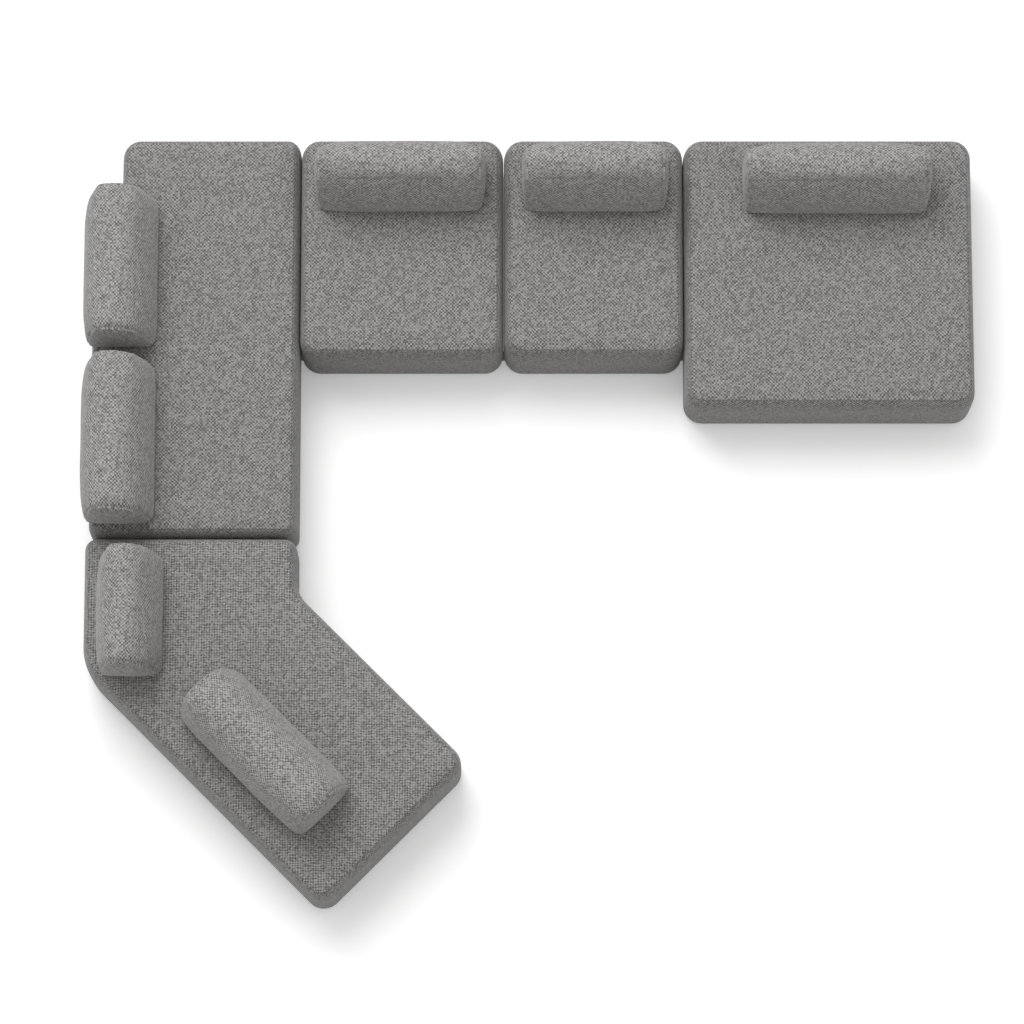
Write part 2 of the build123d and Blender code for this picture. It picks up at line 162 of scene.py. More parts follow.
class SewingLook(bpy.types.PropertyGroup):
    """Fabric, padding and stitches."""

    light_yarn: colour("Light yarn", "Colour of the light yarns", (0.362, 0.355, 0.345))
    dark_yarn: colour("Dark yarn", "Colour of the dark yarns", (0.100, 0.097, 0.093))
    yarn_pitch: length("Yarn pitch", "Distance from yarn to yarn", 0.0082)
    # painted light: the cushions get a lighter copy of the seats' cloth, standing in for more light
    # falling on them
    cushion_painted_light: share("Cushion lift", "How much lighter the cushions' cloth is", 1.2)
    groove_depth: length("Groove depth", "Depth of a seam in the padding", 0.003)
    pucker_depth: length("Pucker depth", "Depth of the puckers by the end seams", 0.0032)
    pucker_reach: length("Pucker reach", "Run of the puckers from the end seams", 0.13)
    slack: length("Slack", "How much smaller a panel is before it is filled", 0.006)
    most_swell: length("Most swell", "Cap on how far filling moves the cloth", 0.011)
    pressure: number("Pressure", "Pressure of the filling", 4.0)
    stitch_pitch: length("Stitch pitch", "Distance from stitch to stitch", 0.012)
    stitch_length: length("Stitch length", "Length of one stitch", 0.009)
    thread_width: length("Thread width", "Width of the sewing thread", 0.0016)
    stitch_seed: IntProperty(name="Stitch seed", description="Seed of uneven stitches", default=4)


class StageLook(bpy.types.PropertyGroup):
    """Floor, light and camera."""

    floor_colour: colour("Floor colour", "Colour of the floor", (0.97, 0.97, 0.97))
    floor_bounce: share("Floor bounce", "Paleness of the floor for light that it throws back", 0.52)
    floor_glow: share("Floor glow", "White that the camera sees on top of the lit floor", 0.20)
    floor_size: length("Floor size", "Side of the floor", 80.0)
    lamp_power: number("Lamp power", "Power of the north lamp", 3100.0, "POWER")
    lamp_place: FloatVectorProperty(
        name="Lamp place",
        description="Place of the north lamp, which points at the origin",
        default=(-5.5, 12.0, 19.0),
        subtype="TRANSLATION",
    )
    lamp_size: length("Lamp size", "Side of the north lamp", 14.0)
    ambient: share("Ambient", "Strength of the room's even light", 0.64)
    camera_tilt: angle("Camera tilt", "Lean of the view from straight down", 12)
    camera_distance: length("Camera distance", "Distance to the point aimed at", 21.7)
    camera_lens: number("Lens", "Focal length in millimetres", 165.94)
    aim_x: length("Aim across", "Point aimed at, along the row", -0.0860)
    aim_y: length("Aim along", "Point aimed at, to the back", 0.0797)


UNDERSIDE_FINISHES = {
    "frame": "planed_timber",
    "webbing": "ribbed_webbing",
    "feet": "moulded_foot",
    "base": "pip_rubber",
    "plates": "plate_zinc",
    "screws": "screw_zinc",
}

# Steps of the meshes, in metres or as counts, and frames of the filling
ARC_STEPS = 10
SIDE_STEP = 0.032
TOP_STEP = 0.036
LID_STEP = 0.15
DUST_CLOTH_STEP = 0.07
CUSHION_STEP = 0.021
BASE_STEPS = 9
BAND_STEPS = 7
FILL_FRAMES = 20

# Level panels: least plan radius, merging of points, margins without loose points, and the kind of fill
LEAST_RADIUS = 0.012
MERGE_DISTANCE = 1e-6
TOP_MARGIN = TOP_STEP * 0.6
LID_MARGIN = 0.08
DUST_CLOTH_MARGIN = 0.05
INSIDE_ONLY = 1

# Section of a seat: the hem that turns under, the band over it, its seam and the top
HEM_RISE = 0.012
HEM_TURN = 0.008
HEM_ROLL = 0.006
HEM_LIP = 0.0004
BAND_START = 0.003
BAND_SPREAD = 1.3
HEM_CURVE = 2.7
EDGE_CURVE = 4.2
EDGE_SHARES = (0.18, 0.36, 0.52, 0.66, 0.77, 0.86, 0.93, 0.975)
SEAM_DROP = 0.6
CROWN_SHARES = (0.07, 0.16, 0.28, 0.42, 0.58, 0.78, 1.0)
TOP_SLACK = 0.6

# Section of a cushion: shares of each panel's run that have a point, closer together where it bends
FRONT_SHARES = (
    *(0.0, 0.012, 0.03, 0.055, 0.1, 0.18, 0.27, 0.36, 0.45),
    *(0.54, 0.63, 0.72, 0.8, 0.87, 0.93, 0.965, 0.985),
)
TOP_SHARES = (0.0, 0.03, 0.08, 0.15, 0.25, 0.36, 0.48, 0.6, 0.72, 0.86)
SHOULDER_SHARES = (0.0, 0.2, 0.4, 0.6, 0.8)
BACK_SHARES = (
    *(0.0, 0.08, 0.16, 0.25, 0.35, 0.45, 0.55, 0.65),
    *(0.74, 0.83, 0.9, 0.945, 0.97, 0.988, 1.0),
)

# Length of a cushion: rings by an end seam, the taper towards it, and the rings of the domed end
SEAM_SPACING = (0.005, 0.013, 0.025)
END_TAPER = 6
DOME_SIZES = (0.99, 0.965, 0.93, 0.88, 0.8, 0.7, 0.58, 0.45, 0.31, 0.16)
DOME_POWER = 5
MIDDLE_HEIGHT = 0.45
RIDGE_GROOVE = 0.5

# Unevenness of the padding and of the dust cloth: waves per metre with their heights, and depths
SEAT_WAVES = ((3.1, 0.6), (8.7, 0.4))
SEAT_DIP = 0.0016
SEAT_DIP_MEAN = 0.8
CUSHION_DENTS = ((5.3, 0.0022), (13.0, 0.0012))
PUCKERS_ALONG = 6.0
PUCKERS_AROUND = 34.0
PUCKER_FADE = 1.5
DUST_CLOTH_WAVES = ((6.0, 1.0),)
DUST_CLOTH_SAG = 0.0004

# Weave: sway of the yarns, stretch of their slubs, and what each pattern adds to the tone; the roundness
# of the yarns adds painted shade, darker where they dip into the gaps
YARN_SWAY = 1.5
SLUB_FINENESS = 145.0
SLUB_DRAW = 22.0
OVER_TONE = 0.68
FLECK_TONE = 0.74
SLUB_TONE = 0.6
FIBRE_TONE = 0.1
# painted shade: how much darker each yarn is where it rounds down between yarns
PAINTED_GAP_SHADE = 0.15
MEAN_ROUND = 0.45

# Least and greatest share of a stitch's length
SHORT_STITCH = 0.9
LONG_STITCH = 1.1

# Camera: width of its sensor in millimetres, and how far it sees in metres
SENSOR_WIDTH = 36.0
VIEW_END = 400.0

# Lines that the stitches follow, listed for each body as its pieces are made
seam_lines = {}


# Plan


def plan_points(seats, cushions):
    """Key points of the plan, from the corner joint, and the model's origin among them."""
    leg = Vector((sin(seats.turn_angle), -cos(seats.turn_angle)))
    leg_side = Vector((-cos(seats.turn_angle), -sin(seats.turn_angle)))
    inner_turn = Vector((0.0, -seats.bench_length - seats.angled_straight))
    leg_inner_end = inner_turn + leg * seats.angled_leg
    leg_outer_end = leg_inner_end + leg_side * seats.angled_depth
    outer_turn = leg_outer_end - leg * ((leg_outer_end.x + seats.angled_straight_depth) / leg.x)
    row_end = seats.wide_seat_width + seats.narrow_seat_width + seats.lounge_width
    south_reach = leg_outer_end.y + seats.outer_radius * (sqrt(2.0) - 1.0)
    west_reach = max(seats.angled_straight_depth, cushions.bench_setback + cushions.deep_depth)
    return {
        "leg": leg,
        "leg_side": leg_side,
        "inner_turn": inner_turn,
        "leg_inner_end": leg_inner_end,
        "leg_outer_end": leg_outer_end,
        "outer_turn": outer_turn,
        "row_end": row_end,
        "origin": Vector(((row_end - west_reach) / 2, south_reach / 2)),
    }


def module_outlines(seats, cushions):
    """Anticlockwise plan corners of each seat module, each with its radius."""
    plan = plan_points(seats, cushions)
    outer, joint = seats.outer_radius, seats.joint_radius
    neck = seats.bench_width - seats.bench_shoulder
    bench_end = -seats.bench_length
    narrow_start = seats.wide_seat_width
    lounge_start = narrow_start + seats.narrow_seat_width

    def rectangle(x_low, x_high, depth):
        """Corners of a plain seat of the row."""
        spots = ((x_low, -depth), (x_high, -depth), (x_high, 0.0), (x_low, 0.0))
        return [(Vector(spot), outer) for spot in spots]

    outlines = {
        "bench": [
            (Vector((0.0, 0.0)), joint),
            (Vector((-neck, 0.0)), outer),
            (Vector((-neck, -seats.bench_neck_length)), outer),
            (Vector((-seats.bench_width, -seats.bench_neck_length - seats.bench_shoulder)), outer),
            (Vector((-seats.bench_width, bench_end)), joint),
            (Vector((0.0, bench_end)), joint),
        ],
        "wide_seat": rectangle(0.0, narrow_start, seats.seat_depth),
        "narrow_seat": rectangle(narrow_start, lounge_start, seats.seat_depth),
        "lounge_seat": rectangle(lounge_start, plan["row_end"], seats.lounge_depth),
        "angled_seat": [
            (Vector((0.0, bench_end)), joint),
            (Vector((-seats.angled_straight_depth, bench_end)), joint),
            (plan["outer_turn"], seats.outer_turn_radius),
            (plan["leg_outer_end"], outer),
            (plan["leg_inner_end"], outer),
            (plan["inner_turn"], seats.inner_turn_radius),
        ],
    }
    return {
        name: [(spot - plan["origin"], radius) for spot, radius in corners]
        for name, corners in outlines.items()
    }


def cushion_places(seats, cushions):
    """For each cushion: the foot of its front's middle, the way to its back, its length and depth."""
    plan = plan_points(seats, cushions)
    lounge_start = seats.wide_seat_width + seats.narrow_seat_width
    west, north = Vector((-1.0, 0.0)), Vector((0.0, 1.0))
    deep, slim = cushions.deep_depth, cushions.slim_depth
    bench_rear = (-cushions.bench_setback, -cushions.bench_rear_from_end)
    bench_front = (-cushions.bench_setback, -cushions.bench_front_from_end)
    straight_middle = -seats.bench_length - cushions.angled_straight_from_end
    straight = (-cushions.angled_straight_setback, straight_middle)
    leg = plan["inner_turn"] + plan["leg"] * cushions.angled_leg_from_turn
    leg = leg + plan["leg_side"] * cushions.angled_leg_setback
    wide = (cushions.wide_from_joint, -cushions.row_from_back)
    narrow = (seats.wide_seat_width + cushions.narrow_from_joint, -cushions.row_from_back)
    lounge = (lounge_start + cushions.lounge_from_joint, -cushions.lounge_from_back)
    places = {
        "bench_rear_cushion": (bench_rear, west, cushions.bench_rear_length, deep),
        "bench_front_cushion": (bench_front, west, cushions.bench_front_length, deep),
        "angled_straight_cushion": (straight, west, cushions.angled_straight_length, slim),
        "angled_leg_cushion": (leg, plan["leg_side"], cushions.angled_leg_length, cushions.leg_depth),
        "wide_seat_cushion": (wide, north, cushions.wide_seat_length, slim),
        "narrow_seat_cushion": (narrow, north, cushions.narrow_seat_length, slim),
        "lounge_cushion": (lounge, north, cushions.lounge_length, slim),
    }
    return {
        name: (Vector(foot) - plan["origin"], to_back, run, depth)
        for name, (foot, to_back, run, depth) in places.items()
    }


def drawn_in(corners, inset):
    """Outline moved inwards by inset, with its radii to match."""
    moved = []
    for place, (spot, radius) in enumerate(corners):
        before = (spot - corners[place - 1][0]).normalized()
        after = (corners[(place + 1) % len(corners)][0] - spot).normalized()
        inward_before = Vector((-before.y, before.x))
        inward_after = Vector((-after.y, after.x))
        mitre = (inward_before + inward_after) / (1 + inward_before.dot(inward_after))
        hollow = before.cross(after) < 0
        new_radius = radius + inset if hollow else max(radius - inset, LEAST_RADIUS)
        moved.append((spot + mitre * inset, new_radius))
    return moved


def side_counts(corners):
    """How many steps each side of an outline is divided into."""
    counts = []
    for place, (spot, _) in enumerate(corners):
        after = corners[(place + 1) % len(corners)][0]
        counts.append(max(2, ceil((after - spot).length / SIDE_STEP)))
    return counts


def rounded_line(corners, inset, counts):
    """Closed line of plan points along an outline drawn in by inset, its corners rounded."""
    moved = drawn_in(corners, inset)
    arcs = []
    for place, (spot, radius) in enumerate(moved):
        before = (spot - moved[place - 1][0]).normalized()
        after = (moved[(place + 1) % len(moved)][0] - spot).normalized()
        turn = atan2(before.cross(after), before.dot(after))
        start = spot - before * (radius * tan(abs(turn) / 2))
        side = 1.0 if turn > 0 else -1.0
        centre = start + Vector((-before.y, before.x)) * (radius * side)
        spoke = start - centre
        turns = [Matrix.Rotation(turn * k / ARC_STEPS, 2) for k in range(ARC_STEPS + 1)]
        arcs.append([centre + part_turn @ spoke for part_turn in turns])
    line = []
    for place, arc in enumerate(arcs):
        line += arc
        end = arcs[(place + 1) % len(arcs)][0]
        line += [arc[-1].lerp(end, k / counts[place]) for k in range(1, counts[place])]
    return line


def inside(point, line):
    """Whether a plan point lies within a closed line."""
    odd = False
    for place, spot in enumerate(line):
        before = line[place - 1]
        if (spot.y > point.y) != (before.y > point.y):
            reach = (before.x - spot.x) * (point.y - spot.y) / (before.y - spot.y) + spot.x
            if point.x < reach:
                odd = not odd
    return odd


def extent(points):
    """Lowest and highest corner of the box round some plan points."""
    low = Vector((min(point.x for point in points), min(point.y for point in points)))
    high = Vector((max(point.x for point in points), max(point.y for point in points)))
    return low, high


def running_lengths(points):
    """Distance of each point from the first along their line."""
    runs = [0.0]
    for before, after in zip(points, points[1:]):
        runs.append(runs[-1] + (after - before).length)
    return runs


def unevenness(spot, waves):
    """Sum of smooth random waves at a place."""
    return sum(noise.noise(spot * fineness) * height for fineness, height in waves)


# Meshes


def fill_panel(bm, ring, inner_line, height, step):
    """Fill a ring with a level panel of triangles, with points spread inside inner_line."""
    points = [vertex.co.xy for vertex in ring]
    low, high = extent(points)
    spread = []
    for row in range(int((high.y - low.y) / step) + 1):
        for column in range(int((high.x - low.x) / step) + 1):
            spot = low + Vector(((column + 0.5 * (row % 2)) * step, row * step))
            if inside(spot, inner_line):
                spread.append(spot)
    edges = [(place, (place + 1) % len(ring)) for place in range(len(ring))]
    spots, _, faces, origins, _, _ = delaunay_2d_cdt(
        points + spread, edges, [], INSIDE_ONLY, MERGE_DISTANCE
    )
    corners = []
    for spot, origin in zip(spots, origins):
        place = min(origin)
        corners.append(ring[place] if place < len(ring) else bm.verts.new((spot.x, spot.y, height)))
    made = [bm.faces.new([corners[k] for k in face]) for face in faces]
    fresh = [corner for corner, origin in zip(corners, origins) if min(origin) >= len(ring)]
    return made, fresh


def join_rings(bm, lower, upper):
    """Quads between two rings of equal count."""
    count = len(lower)
    return [
        bm.faces.new((lower[k], lower[(k + 1) % count], upper[(k + 1) % count], upper[k]))
        for k in range(count)
    ]


def new_piece(name, bm, material):
    """Turn a finished bmesh into a smooth object with its normals outwards."""
    bmesh.ops.recalc_face_normals(bm, faces=bm.faces)
    mesh = bpy.data.meshes.new(name)
    bm.to_mesh(mesh)
    bm.free()
    mesh.shade_smooth()
    mesh.materials.append(material)
    piece = bpy.data.objects.new(name, mesh)
    bpy.context.scene.collection.objects.link(piece)
    return piece


def baked(piece):
    """Replace a piece's mesh by what its modifiers make of it."""
    graph = bpy.context.evaluated_depsgraph_get()
    mesh = bpy.data.meshes.new_from_object(piece.evaluated_get(graph))
    piece.modifiers.clear()
    old = piece.data
    piece.data = mesh
    bpy.data.meshes.remove(old)
    mesh.name = piece.name


def fill_with_padding(pieces, sewing):
    """Swell the free cloth of each piece by pressure, from its slack start, with a cap on its travel."""
    starts = {}
    for piece in pieces:
        starts[piece] = [vertex.co.copy() for vertex in piece.data.vertices]
        cloth = piece.modifiers.new("Filling", "CLOTH")
        cloth.settings.quality = 6
        cloth.settings.mass = 0.3
        cloth.settings.tension_stiffness = 25.0
        cloth.settings.compression_stiffness = 25.0
        cloth.settings.shear_stiffness = 8.0
        cloth.settings.bending_stiffness = 1.5
        cloth.settings.use_pressure = True
        cloth.settings.uniform_pressure_force = sewing.pressure
        cloth.settings.vertex_group_mass = "sewn"
        cloth.settings.effector_weights.gravity = 0.0
        cloth.collision_settings.use_collision = False
        cloth.point_cache.frame_start = 1
        cloth.point_cache.frame_end = FILL_FRAMES
    for moment in range(1, FILL_FRAMES + 1):
        bpy.context.scene.frame_set(moment)
    graph = bpy.context.evaluated_depsgraph_get()
    for piece in pieces:
        filled = piece.evaluated_get(graph).data
        ends = [vertex.co.copy() for vertex in filled.vertices]
        for vertex, start, end in zip(piece.data.vertices, starts[piece], ends):
            travel = end - start
            if travel.length > sewing.most_swell:
                travel = travel.normalized() * sewing.most_swell
            vertex.co = start + travel
    for piece in pieces:
        piece.modifiers.clear()
    bpy.context.scene.frame_set(1)


def sew_down(piece, held):
    """Mark the vertices that seams and seats hold still."""
    group = piece.vertex_groups.new(name="sewn")
    group.add(held, 1.0, "REPLACE")


def seam_on_surface(piece, lines):
    """Lines of points laid on a piece's finished surface."""
    mesh = piece.data
    tree = BVHTree.FromPolygons(
        [vertex.co for vertex in mesh.vertices],
        [tuple(face.vertices) for face in mesh.polygons],
    )
    laid = []
    for line in lines:
        laid.append([tree.find_nearest(point)[0] for point in line])
    return laid


# Seats


def seat_lines(seats, sewing):
    """Section of a seat from its recess over the hem, band and seam to the level top."""
    hem = seats.foot_height
    lines = [
        (seats.recess_inset, seats.recess_top, "recess"),
        (seats.recess_inset, hem + HEM_RISE, "recess"),
        (seats.recess_inset - HEM_TURN, hem + HEM_LIP * 2, "recess"),
        (seats.hem_draw + HEM_ROLL, hem + HEM_LIP, "recess"),
    ]
    band_start = hem + BAND_START
    for k in range(BAND_STEPS + 1):
        up = (k / BAND_STEPS) ** BAND_SPREAD
        height = band_start + (seats.belly_height - band_start) * up
        lines.append((seats.hem_draw * (1 - up) ** HEM_CURVE, height, "band"))
    rise = seats.seam_height - seats.belly_height
    for up in EDGE_SHARES:
        lines.append((seats.seam_inset * up**EDGE_CURVE, seats.belly_height + rise * up, "band"))
    groove = sewing.groove_depth
    lines.append((seats.seam_inset + groove, seats.seam_height - groove * SEAM_DROP, "seam"))
    run = seats.plateau_inset - seats.seam_inset
    lift = seats.seat_height - seats.seam_height
    for along in CROWN_SHARES:
        level = 1 - (1 - along) ** 2
        lines.append((seats.seam_inset + run * along, seats.seam_height + lift * level, "crown"))
    return lines


def make_seat(name, corners, seats, sewing, material):
    """One closed seat: recessed underneath, full sides, a sewn edge and a soft level top."""
    counts = side_counts(corners)
    lines = seat_lines(seats, sewing)
    turn = seats.turn_angle if name == "angled_seat" else 0.0
    grain = Matrix.Rotation(turn, 2)
    bm = bmesh.new()
    weave = bm.loops.layers.uv.new("weave")
    rings = []
    for inset, height, _ in lines:
        line = rounded_line(corners, inset + seats.side_clearance, counts)
        rings.append([bm.verts.new((point.x, point.y, height)) for point in line])
    belly = rounded_line(corners, seats.side_clearance, counts)
    runs = running_lengths([*belly, belly[0]])
    girth = running_lengths([Vector((inset, height)) for inset, height, _ in lines])

    def lay_flat(faces):
        """Lay the weave of level faces along the seat's own run."""
        for face in faces:
            for loop in face.loops:
                loop[weave].uv = grain @ loop.vert.co.xy

    for place in range(len(lines) - 1):
        faces = join_rings(bm, rings[place], rings[place + 1])
        if lines[place + 1][2] == "crown":
            lay_flat(faces)
            continue
        for step, face in enumerate(faces):
            spots = ((step, place), (step + 1, place), (step + 1, place + 1), (step, place + 1))
            for loop, (along, up) in zip(face.loops, spots):
                loop[weave].uv = (runs[along], girth[up])
    inner = rounded_line(corners, seats.plateau_inset + TOP_MARGIN, counts)
    sag = sewing.slack * TOP_SLACK
    top, loose = fill_panel(bm, rings[-1], inner, seats.seat_height - sag, TOP_STEP)
    lay_flat(top)
    lid_inner = rounded_line(corners, seats.recess_inset + LID_MARGIN, counts)
    lid, _ = fill_panel(bm, rings[0], lid_inner, seats.recess_top, LID_STEP)
    lay_flat(lid)
    bm.verts.index_update()
    free = {vertex.index for vertex in loose}
    seam_place = next(place for place, line in enumerate(lines) if line[2] == "seam")
    for ring in rings[seam_place + 2 :]:
        free |= {vertex.index for vertex in ring}
    stitched = [vertex.index for vertex in rings[seam_place + 1]]
    held = [vertex.index for vertex in bm.verts if vertex.index not in free]
    piece = new_piece(f"{name}_upholstery", bm, material)
    sew_down(piece, held)
    return piece, stitched


def settle_seat(piece, seats):
    """Let the top panel rise and dip a little, never above the height of the seat."""
    for vertex in piece.data.vertices:
        if vertex.co.z > seats.seam_height:
            wave = unevenness(vertex.co, SEAT_WAVES)
            depth = (vertex.co.z - seats.seam_height) / (seats.seat_height - seats.seam_height)
            dip = SEAT_DIP * (SEAT_DIP_MEAN + wave) * min(1.0, max(0.0, depth))
            vertex.co.z = min(vertex.co.z, seats.seat_height) - max(0.0, dip)
    piece.data.update()


# Cushions


def swelled(start, end, bulge, along):
    """Point along a panel that swells out on the left of its chord."""
    chord = end - start
    outward = Vector((-chord.y, chord.x)).normalized()
    return start + chord * along + outward * (bulge * 4 * along * (1 - along))


def cushion_section(depth, cushions, slack):
    """Closed section from the front foot over ridge, crown and shoulder to the back foot and base.

    Returns its points, to the back and up, with the place of the ridge and of the base's first point.
    """
    height = cushions.height
    front_foot, back_foot = Vector((0.0, 0.0)), Vector((depth, 0.0))
    ridge = Vector((cushions.ridge_setback, cushions.ridge_height))
    crown = Vector((depth - cushions.crown_setback, height))
    shoulder = Vector((depth - cushions.shoulder_setback, height - cushions.shoulder_drop))
    panels = (
        (front_foot, ridge, cushions.front_bulge, FRONT_SHARES),
        (ridge, crown, cushions.top_bulge, TOP_SHARES),
        (crown, shoulder, cushions.shoulder_bulge, SHOULDER_SHARES),
        (shoulder, back_foot, cushions.back_bulge, BACK_SHARES),
    )
    points = []
    ridge_place = None
    roll = cushions.foot_radius
    for start, end, bulge, shares in panels:
        if start is ridge:
            ridge_place = len(points)
        for along in shares:
            spot = swelled(start, end, bulge - slack, along)
            if spot.y < roll:
                tuck = roll - sqrt(max(0.0, roll * roll - (roll - spot.y) ** 2))
                spot.x += tuck if spot.x < depth / 2 else -tuck
            points.append(spot)
    soften_ridge(points, ridge_place, cushions.ridge_roll)
    base_place = len(points)
    first, last = points[0], points[-1]
    points += [last.lerp(first, k / BASE_STEPS) for k in range(1, BASE_STEPS)]
    return points, ridge_place, base_place


def soften_ridge(points, ridge_place, roll):
    """Bend the section over its ridge in one soft curve instead of a fold."""
    ridge = points[ridge_place].copy()
    near = [k for k, spot in enumerate(points) if (spot - ridge).length < roll]
    start, end = points[near[0]].copy(), points[near[-1]].copy()
    for k in near:
        if k <= ridge_place:
            bend = 0.5 * (points[k] - start).length / (ridge - start).length
        else:
            bend = 0.5 + 0.5 * (points[k] - ridge).length / (end - ridge).length
        points[k] = start.lerp(ridge, bend).lerp(ridge.lerp(end, bend), bend)


def stations(seam):
    """Places along a cushion from one end seam to the other, closer together by the seams."""
    near, further, margin = SEAM_SPACING
    span = 2 * seam - 2 * margin
    count = ceil(span / CUSHION_STEP)
    inner = [-seam + margin + span * k / count for k in range(count + 1)]
    return [-seam, -seam + near, -seam + further, *inner, seam - further, seam - near, seam]


def make_cushion(name, place, seats, cushions, sewing, material):
    """One closed cushion: a panelled body and two domed end panels, sewn along ridge and ends."""
    foot, to_back, run, depth = place
    slack = sewing.slack
    points, ridge, base = cushion_section(depth, cushions, slack)
    seam = run / 2 - cushions.end_bulge
    across = Vector((to_back.x, to_back.y, 0.0))
    axis = across.cross(Vector((0.0, 0.0, 1.0)))
    origin = Vector((foot.x, foot.y, seats.seat_height + cushions.rest_clearance))
    middle = depth / 2
    middle_height = cushions.height * MIDDLE_HEIGHT
    centre = Vector((middle, middle_height))
    bm = bmesh.new()
    weave = bm.loops.layers.uv.new("weave")

    def ring(along, scale, lift, pinch):
        """The section at a place along the cushion, shrunk, lifted and pinched towards its middle."""
        made = []
        for spot in points:
            back = middle + (spot.x - middle) * scale
            up = lift + spot.y * scale
            if pinch:
                inward = (centre - Vector((back, up))).normalized() * pinch
                back += inward.x
                up += min(0.0, inward.y)
            made.append(bm.verts.new(origin + axis * along + across * back + Vector((0.0, 0.0, up))))
        return made

    def close_end(side, outer, pinch):
        """A dome of rings that shrink from an end seam towards the end's middle."""
        before = outer
        count = len(outer)
        for size in DOME_SIZES:
            scale = cushions.end_scale * size
            along = side * (seam + (cushions.end_bulge - slack) * sqrt(1 - size**DOME_POWER))
            now = ring(along, scale, middle_height * (cushions.end_scale - scale), pinch * size)
            lay_end(join_rings(bm, before, now), weave, across)
            before = now
        tip = bm.verts.new(sum((vertex.co for vertex in before), Vector()) / count)
        spokes = [bm.faces.new((before[k], before[(k + 1) % count], tip)) for k in range(count)]
        lay_end(spokes, weave, across)

    body = []
    for along in stations(seam):
        reach = abs(along) / seam
        scale = 1 - (1 - cushions.end_scale) * reach**END_TAPER
        turn = max(0.0, (abs(along) - seam) / cushions.end_radius + cushions.end_turn)
        pinch = cushions.end_radius * (1 - sqrt(1 - turn**2))
        if reach == 1.0:
            end_pinch = pinch
            pinch += sewing.groove_depth
        body.append((along, ring(along, scale, 0.0, pinch)))
    groove = sewing.groove_depth * RIDGE_GROOVE
    for _, vertices in body[1:-1]:
        spot = vertices[ridge].co
        inward = (vertices[base - 1].co + vertices[0].co) / 2 - spot
        vertices[ridge].co = spot + inward.normalized() * groove
    girth = running_lengths([*points, points[0]])
    for (low_along, low), (high_along, high) in zip(body, body[1:]):
        for step, face in enumerate(join_rings(bm, low, high)):
            alongs = (low_along, low_along, high_along, high_along)
            ups = (girth[step], girth[step + 1], girth[step + 1], girth[step])
            for loop, along, up in zip(face.loops, alongs, ups):
                loop[weave].uv = (along, up)
    close_end(-1, body[0][1], end_pinch)
    close_end(1, body[-1][1], end_pinch)
    bm.verts.index_update()
    held = {vertex.index for _, vertices in body for vertex in (*vertices[base - 2 :], *vertices[:2])}
    held |= {vertices[ridge].index for _, vertices in body}
    held |= {vertex.index for vertices in (body[0][1], body[-1][1]) for vertex in vertices}
    stitched = [
        [vertices[ridge + 1].index for _, vertices in body[1:-1]],
        [vertex.index for vertex in body[1][1][:base]],
        [vertex.index for vertex in body[-2][1][:base]],
    ]
    piece = new_piece(f"{name}_upholstery", bm, material)
    sew_down(piece, sorted(held))
    return piece, stitched


def lay_end(faces, weave, across):
    """Lay the weave of an end panel flat, upright on the cushion."""
    for face in faces:
        for loop in face.loops:
            loop[weave].uv = (loop.vert.co.dot(across), loop.vert.co.z)


def rumple_cushion(piece, place, cushions, sewing):
    """Uneven dents in a filled cushion's panels, and puckers that run from its end seams."""
    foot, to_back, run, _ = place
    across = Vector((to_back.x, to_back.y, 0.0))
    axis = Vector((to_back.y, -to_back.x, 0.0))
    middle = Vector((foot.x, foot.y, 0.0))
    seam = run / 2 - cushions.end_bulge
    held = {
        vertex.index
        for vertex in piece.data.vertices
        if any(entry.weight > 0.5 for entry in vertex.groups)
    }
    normals = [vertex.normal.copy() for vertex in piece.data.vertices]
    for vertex, normal in zip(piece.data.vertices, normals):
        if vertex.index in held:
            continue
        spot = vertex.co
        dent = unevenness(spot, CUSHION_DENTS)
        along = (spot - middle).dot(axis)
        nearness = 1 - abs(seam - abs(along)) / sewing.pucker_reach
        if nearness > 0:
            back = (spot - middle).dot(across)
            crease = Vector((along * PUCKERS_ALONG, back * PUCKERS_AROUND, spot.z * PUCKERS_AROUND))
            dent += noise.noise(crease) * sewing.pucker_depth * nearness**PUCKER_FADE
        vertex.co += normal * dent
    piece.data.update()


def smooth_once(piece):
    """Round a piece off by one level of subdivision."""
    refine = piece.modifiers.new("Smooth", "SUBSURF")
    refine.levels = 1
    refine.render_levels = 1
    baked(piece)


# Underside


def make_dust_cloth(name, corners, seats, material):
    """Thin cloth stretched under a frame, a little uneven, with its flat size and its area."""
    counts = side_counts(corners)
    bm = bmesh.new()
    level = seats.foot_height - seats.cloth_thickness / 2
    line = rounded_line(corners, seats.cloth_inset, counts)
    ring = [bm.verts.new((point.x, point.y, level)) for point in line]
    inner = rounded_line(corners, seats.cloth_inset + DUST_CLOTH_MARGIN, counts)
    _, loose = fill_panel(bm, ring, inner, level, DUST_CLOTH_STEP)
    for vertex in loose:
        vertex.co.z -= DUST_CLOTH_SAG * (1 + unevenness(vertex.co, DUST_CLOTH_WAVES))
    piece = new_piece(f"{name}_underlay", bm, material)
    body = piece.modifiers.new("Thickness", "SOLIDIFY")
    body.thickness = seats.cloth_thickness
    body.offset = 0.0
    baked(piece)
    low, high = extent(line)
    area = sum(line[k - 1].cross(point) for k, point in enumerate(line)) / 2
    return piece, tuple(high - low), area


# Materials


